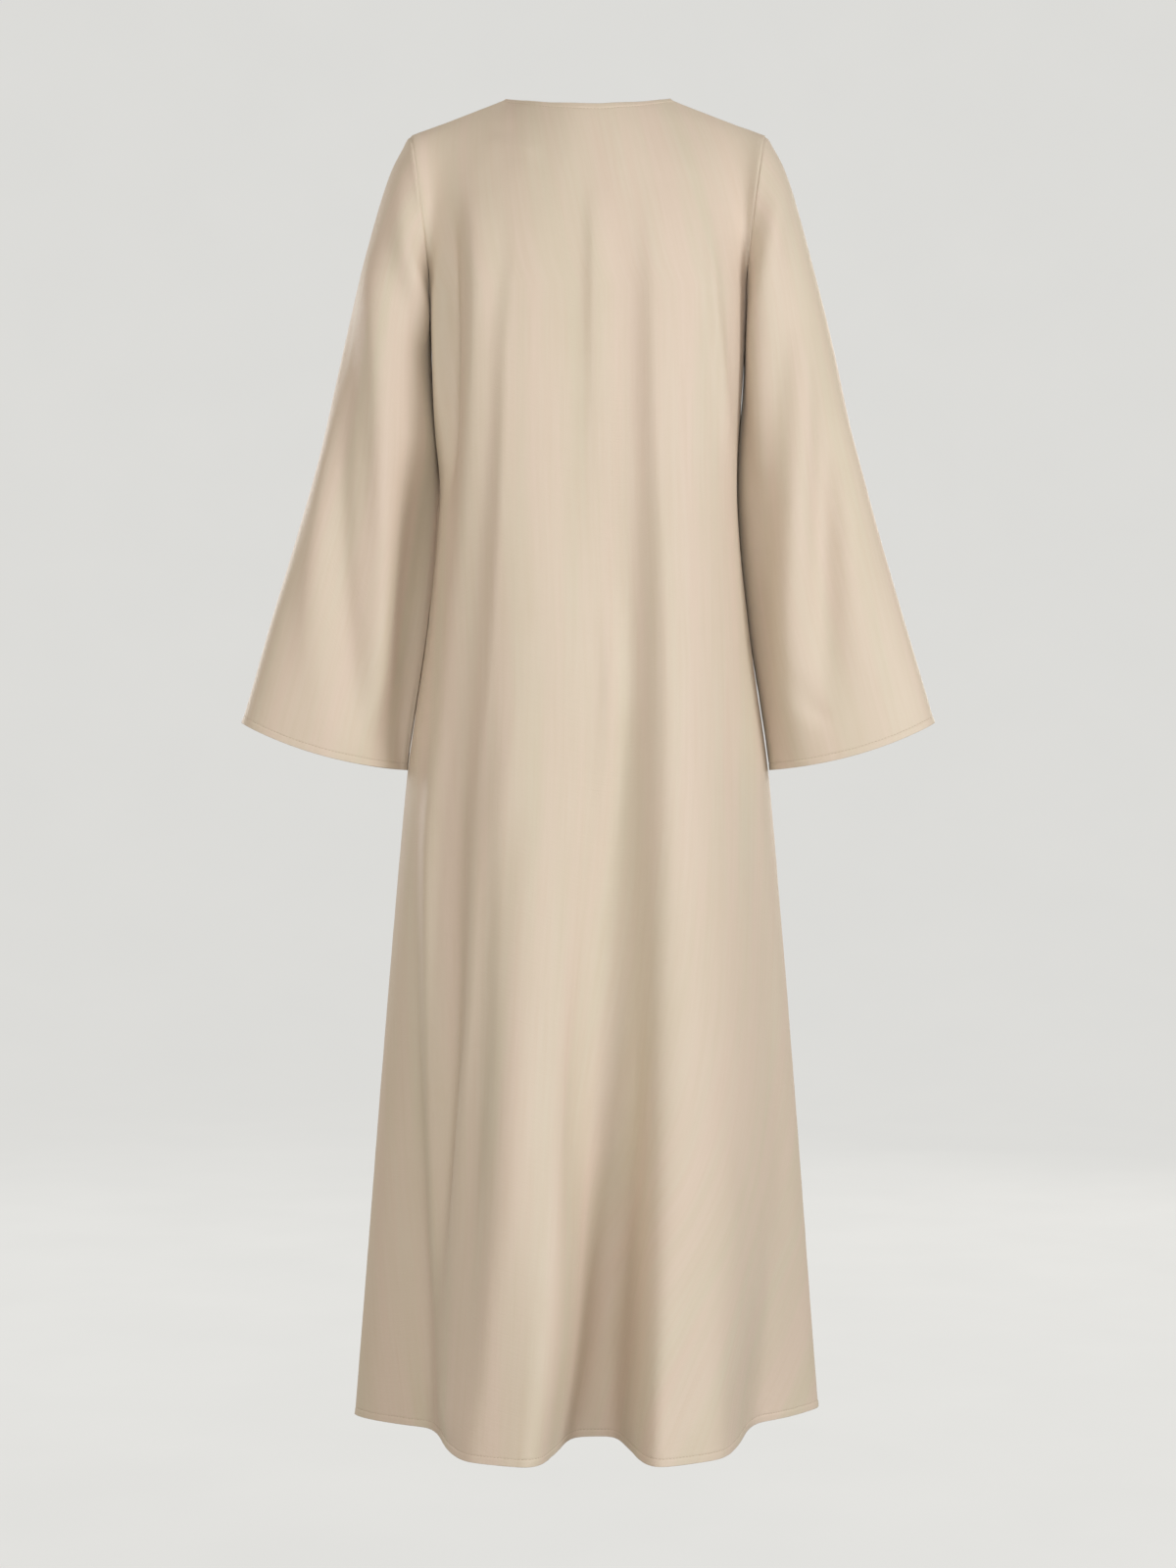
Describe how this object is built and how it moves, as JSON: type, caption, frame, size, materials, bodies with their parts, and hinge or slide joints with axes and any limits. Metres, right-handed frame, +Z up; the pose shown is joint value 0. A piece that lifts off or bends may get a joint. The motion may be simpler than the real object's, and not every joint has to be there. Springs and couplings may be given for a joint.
{
  "type": "abaya cloak",
  "caption": "Floor-length open-front abaya cloak in plain light cloth, worn form without a wearer, with a collarless neck, set-in bell sleeves and narrow stitched hems.",
  "frame": {"origin": "midway between the neck ends of the two shoulder seams, in the plane of the shoulder line, where the wearer's shoulders carry the cloak", "axes": "+Z up along the body, +Y towards the wearer's front, +X towards the wearer's right side"},
  "size_m": [0.73, 0.4081, 1.3966],
  "materials": {
    "cloth": "satin-faced crepe"
  },
  "bodies": {
    "root": {"back": "cloth", "front_left": "cloth", "front_right": "cloth", "sleeve_left": "cloth", "sleeve_right": "cloth"}
  },
  "joints": []
}
